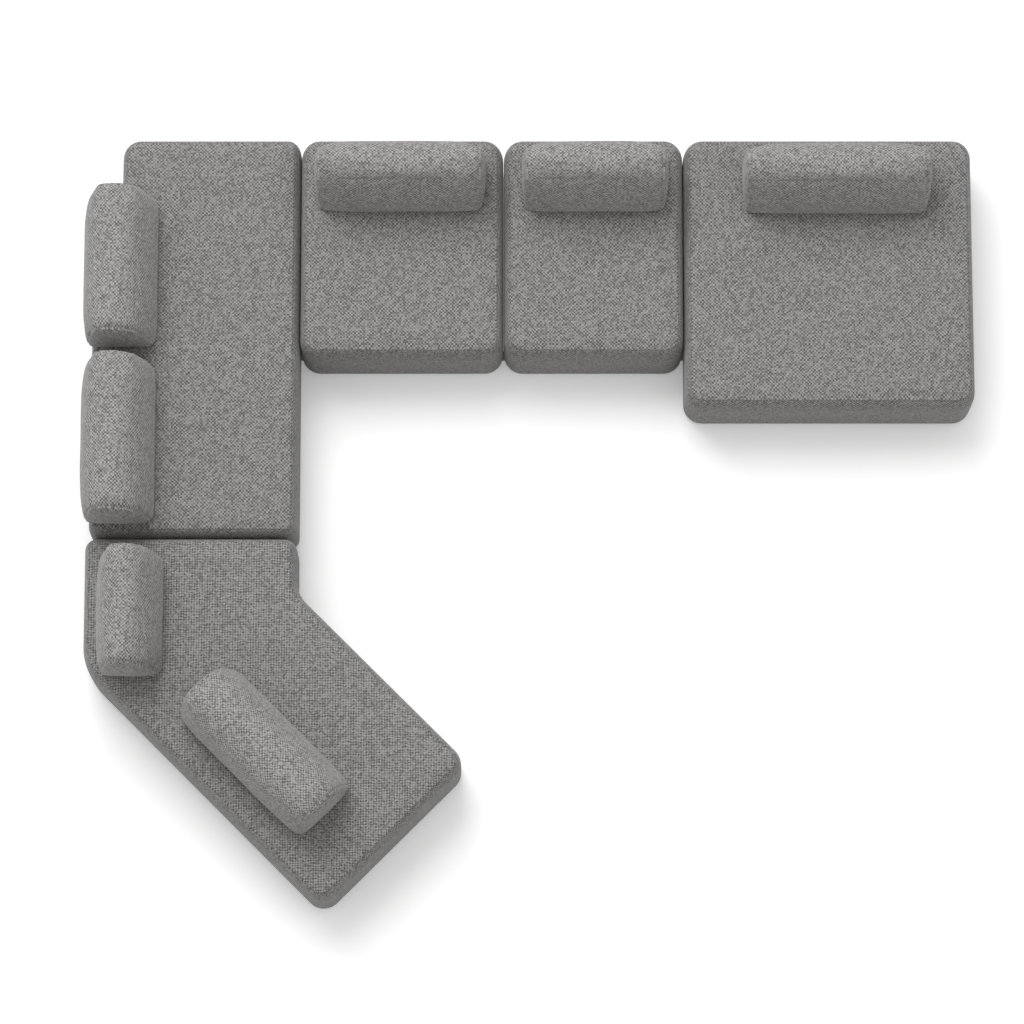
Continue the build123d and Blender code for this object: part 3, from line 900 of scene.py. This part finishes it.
class Shade:
    """One shader value. Arithmetic on it adds Math nodes to its material."""

    def __init__(self, finish, socket):
        self.finish = finish
        self.socket = socket

    def math(self, operation, *others):
        """The result of a Math node on this value and others."""
        feeds = dict(enumerate((self, *others)))
        return self.finish.add("ShaderNodeMath", {"operation": operation}, feeds)

    def __add__(self, other):
        return self.math("ADD", other)

    __radd__ = __add__

    def __mul__(self, other):
        return self.math("MULTIPLY", other)

    __rmul__ = __mul__

    def __sub__(self, other):
        return self.math("SUBTRACT", other)

    def __rsub__(self, other):
        return (self * -1.0) + other

    def __truediv__(self, other):
        return self.math("DIVIDE", other)

    def __mod__(self, other):
        return self.math("FLOORED_MODULO", other)


class Finish:
    """A new material and the nodes that make it."""

    def __init__(self, name):
        self.material = bpy.data.materials.new(name)
        self.material.use_nodes = True
        self.tree = self.material.node_tree
        self.shader = self.tree.nodes["Principled BSDF"]

    def add(self, kind, settings=None, sockets=None, output=0):
        """Add a node, set it up, feed its sockets and return one of its outputs."""
        node = self.tree.nodes.new(kind)
        for key, setting in (settings or {}).items():
            setattr(node, key, setting)
        for key, feed in (sockets or {}).items():
            self.feed(self.socket(node.inputs, key), feed)
        return Shade(self, self.socket(node.outputs, output))

    def socket(self, sockets, key):
        """The socket at a place, or with an identifier or a name."""
        if isinstance(key, int):
            return sockets[key]
        return next(socket for socket in sockets if key in (socket.identifier, socket.name))

    def feed(self, socket, feed):
        """Link a shader value to a socket, or set the socket to a plain value."""
        if isinstance(feed, Shade):
            self.tree.links.new(feed.socket, socket)
        else:
            socket.default_value = feed

    def surface(self, sockets):
        """Feed the surface shader and return the finished material."""
        for key, feed in sockets.items():
            self.feed(self.shader.inputs[key], feed)
        return self.material

    def noise(self, place, scale, detail=2.0, roughness=0.5):
        """Smooth noise at a place."""
        return self.add(
            "ShaderNodeTexNoise",
            {},
            {"Vector": place, "Scale": scale, "Detail": detail, "Roughness": roughness},
        )

    def blend(self, share, first, second):
        """A colour that goes from the first to the second as the share goes from 0 to 1."""
        return self.add(
            "ShaderNodeMix",
            {"data_type": "RGBA"},
            {"Factor_Float": share, "A_Color": first, "B_Color": second},
            "Result_Color",
        )

    def bump(self, height, strength, distance):
        """A normal bent by a height."""
        sockets = {"Strength": strength, "Distance": distance, "Height": height}
        return self.add("ShaderNodeBump", {}, sockets)

    def object_place(self, stretch=(1.0, 1.0, 1.0)):
        """The place on the object, stretched along its axes."""
        place = self.add("ShaderNodeTexCoord", {}, {}, "Object")
        return self.add("ShaderNodeMapping", {}, {"Vector": place, "Scale": stretch})

    def parts(self, place):
        """The three parts of a place."""
        node = self.add("ShaderNodeSeparateXYZ", {}, {0: place}).socket.node
        return [Shade(self, socket) for socket in node.outputs]


def opaque(rgb):
    """A colour without any see-through."""
    return (*rgb, 1.0)


def grey(level):
    """A neutral colour without any see-through."""
    return (level, level, level, 1.0)


def fleck_weave(name, sewing, lift):
    """Fleck weave: light and dark yarns crossing over and under, uneven along their length, with painted
    shade where each yarn rounds down into the gaps; a lift above 1 makes a lighter copy of the same
    cloth as painted light.
    """
    cloth = Finish(name)
    # a lift above 1 lightens both yarns: painted light on the cushions' copy of the cloth
    dark_yarn = opaque([part * lift for part in sewing.dark_yarn])
    light_yarn = opaque([part * lift for part in sewing.light_yarn])
    place = cloth.add("ShaderNodeUVMap", {"uv_map": "weave"})
    across, along, _ = cloth.parts(place)

    def slubs(stretch):
        """Thick and thin places, drawn out along the yarns."""
        drawn_out = cloth.add("ShaderNodeVectorMath", {"operation": "MULTIPLY"}, {0: place, 1: stretch})
        return cloth.noise(drawn_out, scale=1.0, detail=1.0)

    sway = (cloth.noise(place, scale=30.0, detail=1.0) - 0.5) * YARN_SWAY
    warp = across / sewing.yarn_pitch + sway
    weft = along / sewing.yarn_pitch - sway
    warp_yarn, weft_yarn = warp.math("FLOOR"), weft.math("FLOOR")
    warp_side, weft_side = warp.math("FRACT"), weft.math("FRACT")
    over = (warp_yarn + weft_yarn) % 2.0
    cell = cloth.add("ShaderNodeCombineXYZ", {}, {0: warp_yarn, 1: weft_yarn})
    fleck = cloth.add("ShaderNodeTexWhiteNoise", {"noise_dimensions": "2D"}, {"Vector": cell})
    warp_slub = slubs((SLUB_FINENESS, SLUB_DRAW, 1.0))
    weft_slub = slubs((SLUB_DRAW, SLUB_FINENESS, 1.0))
    fibre = cloth.noise(place, scale=900.0, detail=2.0)
    warp_round = 1.0 - (warp_side * 2.0 - 1.0).math("POWER", 2.0)
    weft_round = 1.0 - (weft_side * 2.0 - 1.0).math("POWER", 2.0)
    height = warp_round * weft_round
    tone = (over - 0.5) * OVER_TONE + (fleck - 0.5) * FLECK_TONE
    tone = tone + (warp_slub - 0.5) * SLUB_TONE + (weft_slub - 0.5) * SLUB_TONE
    # the yarns' roundness darkens the tone towards their edges: painted shade in the gaps between yarns
    tone = tone + (fibre - 0.5) * FIBRE_TONE + (height - MEAN_ROUND) * PAINTED_GAP_SHADE + 0.5
    tone = tone.math("MINIMUM", 1.0).math("MAXIMUM", 0.0)
    relief = height + (fibre - 0.5) * 0.3 + tone * 0.3
    return cloth.surface(
        {
            "Base Color": cloth.blend(tone, dark_yarn, light_yarn),
            "Roughness": 0.97 - height * 0.08,
            "Specular IOR Level": 0.25,
            "Sheen Weight": 0.25,
            "Sheen Roughness": 0.45,
            "Normal": cloth.bump(relief, strength=0.5, distance=0.0012),
        }
    )


def seam_thread():
    """Twisted grey thread."""
    thread = Finish("seam_thread")
    dark, pale = opaque((0.09, 0.088, 0.085)), opaque((0.2, 0.196, 0.19))
    twist = thread.noise(thread.object_place(), scale=1400.0, detail=1.0)
    return thread.surface(
        {
            "Base Color": thread.blend(twist, dark, pale),
            "Roughness": 0.75,
            "Normal": thread.bump(twist, strength=0.4, distance=0.0003),
        }
    )


def planed_timber():
    """Planed softwood with long grain and darker late rings."""
    wood = Finish("planed_timber")
    late, early = opaque((0.47, 0.3, 0.15)), opaque((0.66, 0.48, 0.28))
    grain = wood.noise(wood.object_place((3.0, 3.0, 60.0)), scale=2.2, detail=4.0, roughness=0.6)
    pores = wood.noise(wood.object_place((30.0, 30.0, 600.0)), scale=2.0, detail=2.0)
    rings = (grain * 22.0).math("SINE") * 0.5 + 0.5
    return wood.surface(
        {
            "Base Color": wood.blend(rings * 0.6 + pores * 0.4, late, early),
            "Roughness": 0.62 + pores * 0.2,
            "Normal": wood.bump(pores, strength=0.25, distance=0.0006),
        }
    )


def ribbed_webbing():
    """Black elastic strap with fine ribs and some lint, paler on the ribs and darker in the grooves
    between them as painted shade.
    """
    strap = Finish("ribbed_webbing")
    dark, pale = opaque((0.02, 0.02, 0.021)), opaque((0.07, 0.07, 0.072))
    rib_pitch = 0.0035
    _, along, _ = strap.parts(strap.object_place())
    ribs = (along * (2 * pi / rib_pitch)).math("SINE") * 0.5 + 0.5
    lint = strap.noise(strap.object_place(), scale=260.0, detail=2.0)
    return strap.surface(
        {
            # the ribs in the colour are painted shade: darker in the grooves, paler on the ribs
            "Base Color": strap.blend(ribs * 0.5 + lint * 0.4, dark, pale),
            "Roughness": 0.7 + lint * 0.2,
            "Normal": strap.bump(ribs, strength=0.5, distance=0.0005),
        }
    )


def spun_fleece():
    """Thin spun fleece with pressed dots and tangled fibres."""
    fleece = Finish("spun_fleece")
    dark, pale = opaque((0.012, 0.012, 0.013)), opaque((0.05, 0.05, 0.052))
    dot_pitch = 0.003
    place = fleece.object_place()
    tangle = fleece.noise(place, scale=420.0, detail=5.0, roughness=0.65)
    clouds = fleece.noise(place, scale=9.0, detail=2.0)
    across, along, _ = fleece.parts(place)
    across_dots = (across * (2 * pi / dot_pitch)).math("SINE")
    dots = across_dots * (along * (2 * pi / dot_pitch)).math("SINE")
    return fleece.surface(
        {
            "Base Color": fleece.blend(tangle * 0.6 + clouds * 0.4, dark, pale),
            "Roughness": 0.85 + tangle * 0.12,
            "Normal": fleece.bump(tangle + dots * 0.3, strength=0.4, distance=0.0004),
        }
    )


def moulded_foot():
    """Moulded black plastic with a spark-eroded grain and scuffs."""
    plastic = Finish("moulded_foot")
    place = plastic.object_place()
    grain = plastic.noise(place, scale=800.0, detail=2.0)
    scuff = plastic.noise(place, scale=45.0, detail=4.0, roughness=0.7)
    return plastic.surface(
        {
            "Base Color": plastic.blend(scuff, grey(0.012), opaque((0.035, 0.035, 0.036))),
            "Roughness": 0.42 + scuff * 0.25,
            "Normal": plastic.bump(grain, strength=0.2, distance=0.0003),
        }
    )


def pip_rubber():
    """Dark rubbery board cover with raised round pips."""
    rubber = Finish("pip_rubber")
    dark, dusty = opaque((0.02, 0.02, 0.021)), opaque((0.05, 0.049, 0.048))
    place = rubber.object_place()
    pips = rubber.add(
        "ShaderNodeTexVoronoi",
        {"feature": "F1"},
        {"Vector": place, "Scale": 160.0, "Randomness": 0.1},
    )
    raised = 1.0 - (pips * 2.4).math("MINIMUM", 1.0)
    dust = rubber.noise(place, scale=30.0, detail=3.0)
    return rubber.surface(
        {
            "Base Color": rubber.blend(dust, dark, dusty),
            "Roughness": 0.6 + dust * 0.25,
            "Normal": rubber.bump(raised, strength=0.6, distance=0.0008),
        }
    )


def zinc_steel(name, dull, bright):
    """Zinc-plated steel with fine brushing and cloudy patches."""
    metal = Finish(name)
    brushing = metal.noise(metal.object_place((40.0, 900.0, 900.0)), scale=1.0, detail=2.0)
    clouds = metal.noise(metal.object_place(), scale=70.0, detail=3.0)
    return metal.surface(
        {
            "Base Color": metal.blend(clouds, opaque(dull), opaque(bright)),
            "Metallic": 1.0,
            "Roughness": 0.28 + clouds * 0.2 + brushing * 0.1,
            "Normal": metal.bump(brushing, strength=0.15, distance=0.0002),
        }
    )


def finish_named(name):
    """The material of that name, made once."""
    if name in bpy.data.materials:
        return bpy.data.materials[name]
    sewing = bpy.context.scene.sofa_sewing
    if name == "seat_weave":
        return fleck_weave(name, sewing, 1.0)
    if name == "cushion_weave_painted_light":
        # the cushions' copy of the seat cloth, made lighter as painted light
        return fleck_weave(name, sewing, sewing.cushion_painted_light)
    if name == "plate_zinc":
        return zinc_steel(name, (0.50, 0.51, 0.53), (0.66, 0.66, 0.67))
    if name == "screw_zinc":
        return zinc_steel(name, (0.52, 0.49, 0.40), (0.70, 0.67, 0.56))
    makers = {
        "seam_thread": seam_thread,
        "planed_timber": planed_timber,
        "ribbed_webbing": ribbed_webbing,
        "spun_fleece": spun_fleece,
        "moulded_foot": moulded_foot,
        "pip_rubber": pip_rubber,
    }
    return makers[name]()


# Geometry nodes


def stitch_tree():
    """Node tree that lays stitches along a curve, a little uneven."""
    tree = bpy.data.node_groups.new("Seam stitches", "GeometryNodeTree")
    inputs = (
        ("Seam", "NodeSocketGeometry"),
        ("Pitch", "NodeSocketFloat"),
        ("Stitch length", "NodeSocketFloat"),
        ("Thread width", "NodeSocketFloat"),
        ("Seed", "NodeSocketInt"),
        ("Thread", "NodeSocketMaterial"),
    )
    for name, kind in inputs:
        tree.interface.new_socket(name, in_out="INPUT", socket_type=kind)
    tree.interface.new_socket("Stitches", in_out="OUTPUT", socket_type="NodeSocketGeometry")

    def add(kind, settings=None, feeds=None):
        """Add a node, set it up and feed its sockets."""
        node = tree.nodes.new(kind)
        for key, setting in (settings or {}).items():
            setattr(node, key, setting)
        for key, feed in (feeds or {}).items():
            if isinstance(feed, bpy.types.NodeSocket):
                tree.links.new(feed, node.inputs[key])
            else:
                node.inputs[key].default_value = feed
        return node

    given = add("NodeGroupInput").outputs
    spaced = add(
        "GeometryNodeResampleCurve",
        {"mode": "LENGTH"},
        {"Curve": given["Seam"], "Length": given["Pitch"]},
    )
    bead = add("GeometryNodeMeshUVSphere", None, {"Segments": 6, "Rings": 4, "Radius": 0.5})
    tangent = add("GeometryNodeInputTangent").outputs["Tangent"]
    turned = add("FunctionNodeAlignRotationToVector", {"axis": "Z"}, {"Vector": tangent})
    # The float's least and greatest value are sockets 2 and 3, and output 1 gives it
    uneven = add(
        "FunctionNodeRandomValue",
        {"data_type": "FLOAT"},
        {2: SHORT_STITCH, 3: LONG_STITCH, "Seed": given["Seed"]},
    )
    stretch = add(
        "ShaderNodeMath",
        {"operation": "MULTIPLY"},
        {0: given["Stitch length"], 1: uneven.outputs[1]},
    )
    size = add(
        "ShaderNodeCombineXYZ",
        None,
        {"X": given["Thread width"], "Y": given["Thread width"], "Z": stretch.outputs[0]},
    )
    laid = add(
        "GeometryNodeInstanceOnPoints",
        None,
        {
            "Points": spaced.outputs["Curve"],
            "Instance": bead.outputs["Mesh"],
            "Rotation": turned.outputs["Rotation"],
            "Scale": size.outputs["Vector"],
        },
    )
    real = add("GeometryNodeRealizeInstances", None, {"Geometry": laid.outputs["Instances"]})
    smooth = add("GeometryNodeSetShadeSmooth", None, {"Geometry": real.outputs["Geometry"]})
    dressed = add(
        "GeometryNodeSetMaterial",
        None,
        {"Geometry": smooth.outputs["Geometry"], "Material": given["Thread"]},
    )
    add("NodeGroupOutput", None, {"Stitches": dressed.outputs["Geometry"]})
    return tree


def stitch_piece(body, lines, tree, sewing, thread):
    """All the stitches of one body as one plain mesh."""
    path = bpy.data.curves.new(f"{body}_seams", "CURVE")
    path.dimensions = "3D"
    for line, closed in lines:
        spline = path.splines.new("POLY")
        spline.points.add(len(line) - 1)
        for point, spot in zip(spline.points, line):
            point.co = (*spot, 1.0)
        spline.use_cyclic_u = closed
    guide = bpy.data.objects.new(f"{body}_seams", path)
    bpy.context.scene.collection.objects.link(guide)
    sew = guide.modifiers.new("Stitches", "NODES")
    sew.node_group = tree
    feeds = {
        "Pitch": sewing.stitch_pitch,
        "Stitch length": sewing.stitch_length,
        "Thread width": sewing.thread_width,
        "Seed": sewing.stitch_seed,
        "Thread": thread,
    }
    for item in tree.interface.items_tree:
        if item.in_out == "INPUT" and item.name in feeds:
            sew[item.identifier] = feeds[item.name]
    bpy.context.view_layer.update()
    graph = bpy.context.evaluated_depsgraph_get()
    mesh = bpy.data.meshes.new_from_object(guide.evaluated_get(graph))
    bpy.data.objects.remove(guide)
    piece = bpy.data.objects.new(f"{body}_stitches", mesh)
    mesh.name = piece.name
    bpy.context.scene.collection.objects.link(piece)
    return piece


# Stage


def seen_directly(tree):
    """Socket that is 1 for camera, glossy and transmission rays, and 0 for light thrown about."""
    path = tree.nodes.new("ShaderNodeLightPath")
    total = None
    for name in ("Is Camera Ray", "Is Glossy Ray", "Is Transmission Ray"):
        if total is None:
            total = path.outputs[name]
            continue
        most = tree.nodes.new("ShaderNodeMath")
        most.operation = "MAXIMUM"
        tree.links.new(total, most.inputs[0])
        tree.links.new(path.outputs[name], most.inputs[1])
        total = most.outputs[0]
    return total


def make_floor(stage):
    """Plain pale floor that keeps the sofa's shadow."""
    half = stage.floor_size / 2
    mesh = bpy.data.meshes.new("floor")
    corners = [(-half, -half, 0.0), (half, -half, 0.0), (half, half, 0.0), (-half, half, 0.0)]
    mesh.from_pydata(corners, [], [(0, 1, 2, 3)])
    floor = bpy.data.objects.new("floor", mesh)
    bpy.context.scene.collection.objects.link(floor)
    paper = Finish("floor_paper")
    seen = Shade(paper, seen_directly(paper.tree))
    paper.surface(
        {
            "Base Color": paper.blend(seen, grey(stage.floor_bounce), opaque(stage.floor_colour)),
            "Emission Color": paper.blend(seen, grey(0.0), grey(stage.floor_glow)),
            "Emission Strength": 1.0,
            "Roughness": 1.0,
            "Specular IOR Level": 0.0,
        }
    )
    mesh.materials.append(paper.material)


def make_light(scene, stage):
    """Even room light, and one large soft lamp high in the north-west."""
    world = bpy.data.worlds.new("studio")
    scene.world = world
    world.use_nodes = True
    tree = world.node_tree
    room = tree.nodes["Background"]
    room.inputs["Color"].default_value = grey(1.0)
    room.inputs["Strength"].default_value = stage.ambient
    white = tree.nodes.new("ShaderNodeBackground")
    white.inputs["Color"].default_value = grey(1.0)
    mix = tree.nodes.new("ShaderNodeMixShader")
    tree.links.new(seen_directly(tree), mix.inputs[0])
    tree.links.new(room.outputs[0], mix.inputs[1])
    tree.links.new(white.outputs[0], mix.inputs[2])
    tree.links.new(mix.outputs[0], tree.nodes["World Output"].inputs["Surface"])
    lamp = bpy.data.lights.new("north_lamp", "AREA")
    lamp.shape = "SQUARE"
    lamp.size = stage.lamp_size
    lamp.energy = stage.lamp_power
    holder = bpy.data.objects.new("north_lamp", lamp)
    holder.location = stage.lamp_place
    holder.rotation_euler = (-Vector(holder.location)).to_track_quat("-Z", "Y").to_euler()
    scene.collection.objects.link(holder)


def make_camera(scene, stage):
    """Long lens, almost straight down, from the front."""
    camera = bpy.data.cameras.new("camera")
    camera.sensor_width = SENSOR_WIDTH
    camera.lens = stage.camera_lens
    camera.clip_end = VIEW_END
    holder = bpy.data.objects.new("camera", camera)
    tilt = stage.camera_tilt
    aim = Vector((stage.aim_x, stage.aim_y, 0.0))
    holder.location = aim + Vector((0.0, -sin(tilt), cos(tilt))) * stage.camera_distance
    holder.rotation_euler = (tilt, 0.0, 0.0)
    scene.collection.objects.link(holder)
    scene.camera = holder


# Operators


class SOFA_OT_seats(bpy.types.Operator):
    """Upholster the five seat modules"""

    bl_idname = "sofa.seats"
    bl_label = "Seats"

    def execute(self, context):
        scene = context.scene
        seats, cushions, sewing = scene.sofa_seats, scene.sofa_cushions, scene.sofa_sewing
        fabric = finish_named("seat_weave")
        made = {}
        for name, corners in module_outlines(seats, cushions).items():
            made[name] = make_seat(name, corners, seats, sewing, fabric)
        fill_with_padding([piece for piece, _ in made.values()], sewing)
        lines = seam_lines.setdefault("seat_base", [])
        for name, (piece, stitched) in made.items():
            settle_seat(piece, seats)
            line = [piece.data.vertices[place].co.copy() for place in stitched]
            lines += [(laid, True) for laid in seam_on_surface(piece, [line])]
            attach(piece, "seat_base")
            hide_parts(f"{name}_cover", f"{name}_core")
        return {"FINISHED"}


class SOFA_OT_cushions(bpy.types.Operator):
    """Sew and fill the seven back cushions"""

    bl_idname = "sofa.cushions"
    bl_label = "Back cushions"

    def execute(self, context):
        scene = context.scene
        seats, cushions, sewing = scene.sofa_seats, scene.sofa_cushions, scene.sofa_sewing
        fabric = finish_named("cushion_weave_painted_light")
        made = {}
        places = cushion_places(seats, cushions)
        for name, place in places.items():
            made[name] = make_cushion(name, place, seats, cushions, sewing, fabric)
        fill_with_padding([piece for piece, _ in made.values()], sewing)
        for name, (piece, stitched) in made.items():
            rumple_cushion(piece, places[name], cushions, sewing)
            lines = [[piece.data.vertices[place].co.copy() for place in line] for line in stitched]
            smooth_once(piece)
            seam_lines[name] = [(laid, False) for laid in seam_on_surface(piece, lines)]
            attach(piece, name)
            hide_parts(f"{name}_cover", f"{name}_core")
        return {"FINISHED"}


class SOFA_OT_stitches(bpy.types.Operator):
    """Sew the stitches along every seam"""

    bl_idname = "sofa.stitches"
    bl_label = "Seam stitches"

    def execute(self, context):
        if not seam_lines:
            raise RuntimeError("make the seats and cushions before their stitches")
        sewing = context.scene.sofa_sewing
        tree = stitch_tree()
        thread = finish_named("seam_thread")
        for body, lines in seam_lines.items():
            piece = stitch_piece(body, lines, tree, sewing, thread)
            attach(piece, body)
        return {"FINISHED"}


class SOFA_OT_underside(bpy.types.Operator):
    """Stretch the dust cloths and finish the frames, straps, feet, plates and cushion bases"""

    bl_idname = "sofa.underside"
    bl_label = "Underside"

    def execute(self, context):
        seats, cushions = context.scene.sofa_seats, context.scene.sofa_cushions
        fleece = finish_named("spun_fleece")
        for name, corners in module_outlines(seats, cushions).items():
            piece, flat, area = make_dust_cloth(name, corners, seats, fleece)
            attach(piece, "seat_base")
            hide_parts(f"{name}_dust_cloth")
        for name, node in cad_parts.items():
            ending = name.split("_")[-1]
            if ending in UNDERSIDE_FINISHES:
                finish = finish_named(UNDERSIDE_FINISHES[ending])
                if not node.material_slots:
                    node.data.materials.append(finish)
                for slot in node.material_slots:
                    slot.material = finish
        return {"FINISHED"}


class SOFA_OT_stage(bpy.types.Operator):
    """Floor, soft light and camera"""

    bl_idname = "sofa.stage"
    bl_label = "Stage"

    def execute(self, context):
        stage = context.scene.sofa_stage
        make_floor(stage)
        make_light(context.scene, stage)
        make_camera(context.scene, stage)
        context.scene.view_settings.view_transform = "Standard"
        return {"FINISHED"}


# Panel and registration


class SOFA_PT_panel(bpy.types.Panel):
    """Sizes and steps of the sofa"""

    bl_idname = "SOFA_PT_panel"
    bl_label = "Corner sofa"
    bl_space_type = "VIEW_3D"
    bl_region_type = "UI"
    bl_category = "Corner sofa"

    def draw(self, context):
        layout = self.layout
        for operator in OPERATORS:
            layout.operator(operator.bl_idname)
        for holder in PROPERTY_HOLDERS:
            group = getattr(context.scene, holder)
            column = layout.column(align=True)
            for name in group.__annotations__:
                column.prop(group, name)


PROPERTY_HOLDERS = {
    "sofa_seats": SeatSizes,
    "sofa_cushions": CushionSizes,
    "sofa_sewing": SewingLook,
    "sofa_stage": StageLook,
}
OPERATORS = (SOFA_OT_seats, SOFA_OT_cushions, SOFA_OT_stitches, SOFA_OT_underside, SOFA_OT_stage)


def register():
    for group in (*PROPERTY_HOLDERS.values(), *OPERATORS, SOFA_PT_panel):
        bpy.utils.register_class(group)
    for holder, group in PROPERTY_HOLDERS.items():
        setattr(bpy.types.Scene, holder, PointerProperty(type=group))


def unregister():
    for holder in PROPERTY_HOLDERS:
        delattr(bpy.types.Scene, holder)
    for group in reversed((*PROPERTY_HOLDERS.values(), *OPERATORS, SOFA_PT_panel)):
        bpy.utils.unregister_class(group)


def main():
    """Make the sofa on its stage."""
    register()
    bpy.ops.sofa.stage()
    bpy.ops.sofa.seats()
    bpy.ops.sofa.cushions()
    bpy.ops.sofa.stitches()
    bpy.ops.sofa.underside()


if __name__ == "__main__":
    main()
